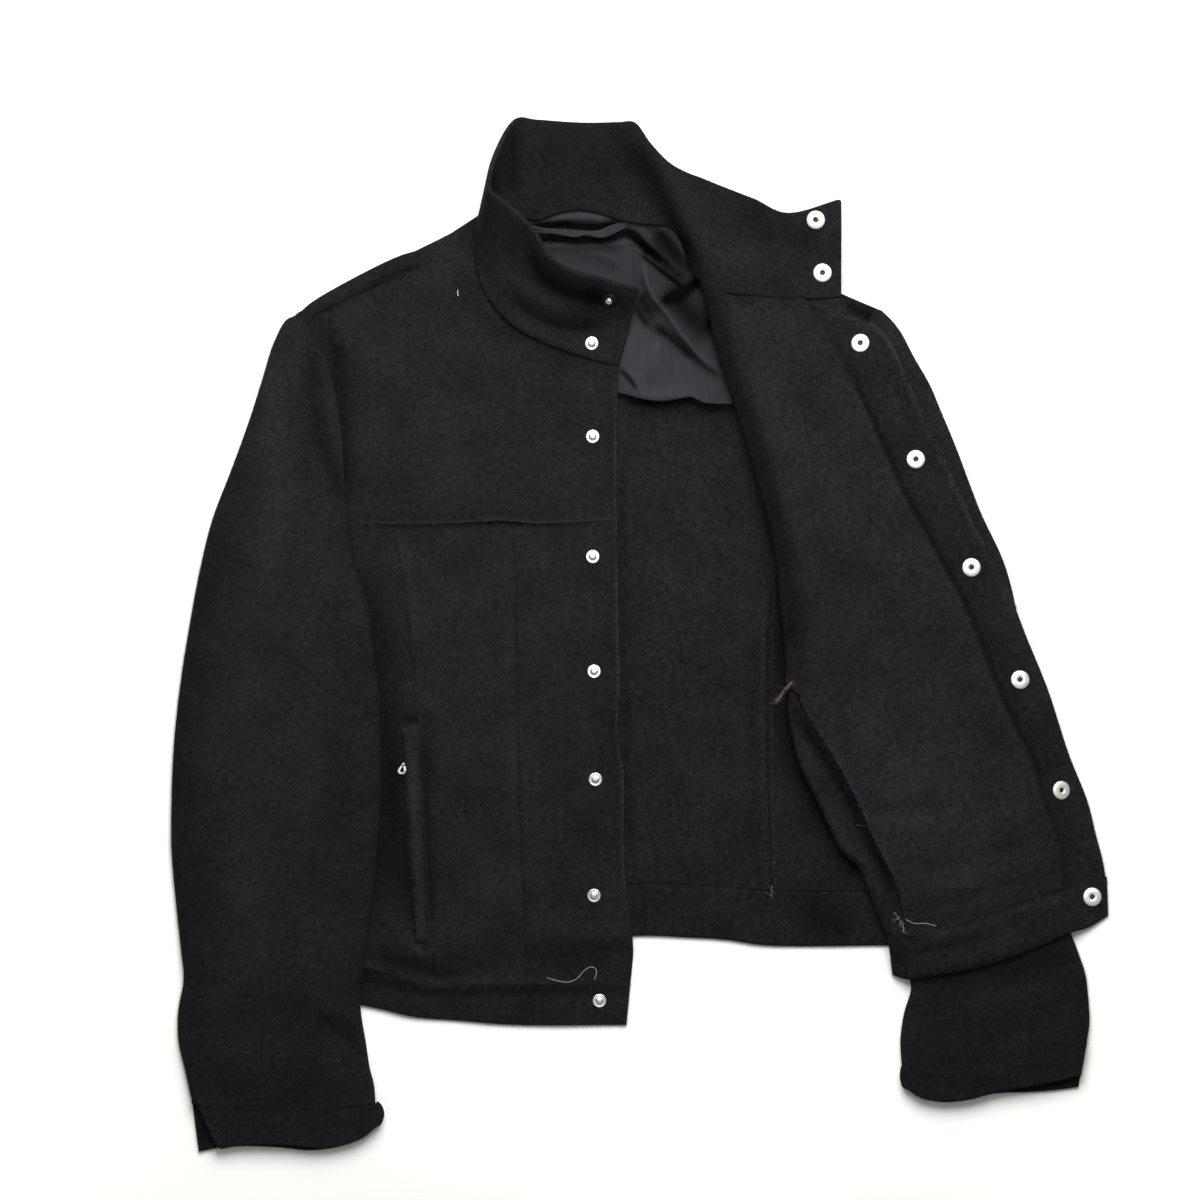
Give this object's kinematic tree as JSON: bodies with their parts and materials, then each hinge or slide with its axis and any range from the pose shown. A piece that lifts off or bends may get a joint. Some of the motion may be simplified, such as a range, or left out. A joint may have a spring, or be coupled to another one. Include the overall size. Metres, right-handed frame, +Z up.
{
  "type": "blouson",
  "caption": "Short wool blouson laid flat with its left front turned back: stand collar, snap closure, panelled fronts, half lining, hem band and slit cuffs.",
  "frame": {"origin": "middle of the laid garment's outline, on the surface it lies on", "axes": "+X across the garment to the turned-back left front, +Y from the hem to the collar, +Z up from the surface"},
  "size_m": [0.694, 0.7642, 0.0527],
  "materials": {
    "wool": "fuzzy black twill",
    "satin": "dark grey satin",
    "snap_metal": "nickel plated"
  },
  "bodies": {
    "root": {"back_centre": "wool", "back_side_right": "wool", "back_side_left": "wool", "hem_band_back": "wool", "front_right_yoke": "wool", "front_right_side": "wool", "front_right_middle": "wool", "front_right_centre": "wool", "hem_band_right": "wool", "pocket_welt_right": "wool", "sleeve_right_under": "wool", "sleeve_right_top": "wool", "cuff_right": "wool", "front_left": "wool", "front_left_inside": "wool", "hem_band_left": "wool", "sleeve_left_under": "wool", "sleeve_left_top": "wool", "cuff_left": "wool", "collar": "wool", "lining_back": "satin", "hanger_loop": "satin", "snap_stud_1": "snap_metal", "snap_stud_2": "snap_metal", "snap_stud_3": "snap_metal", "snap_stud_4": "snap_metal", "snap_stud_5": "snap_metal", "snap_stud_6": "snap_metal", "snap_stud_7": "snap_metal", "snap_stud_8": "snap_metal", "snap_socket_1": "snap_metal", "snap_socket_2": "snap_metal", "snap_socket_3": "snap_metal", "snap_socket_4": "snap_metal", "snap_socket_5": "snap_metal", "snap_socket_6": "snap_metal", "snap_socket_7": "snap_metal", "snap_socket_8": "snap_metal"}
  },
  "joints": []
}
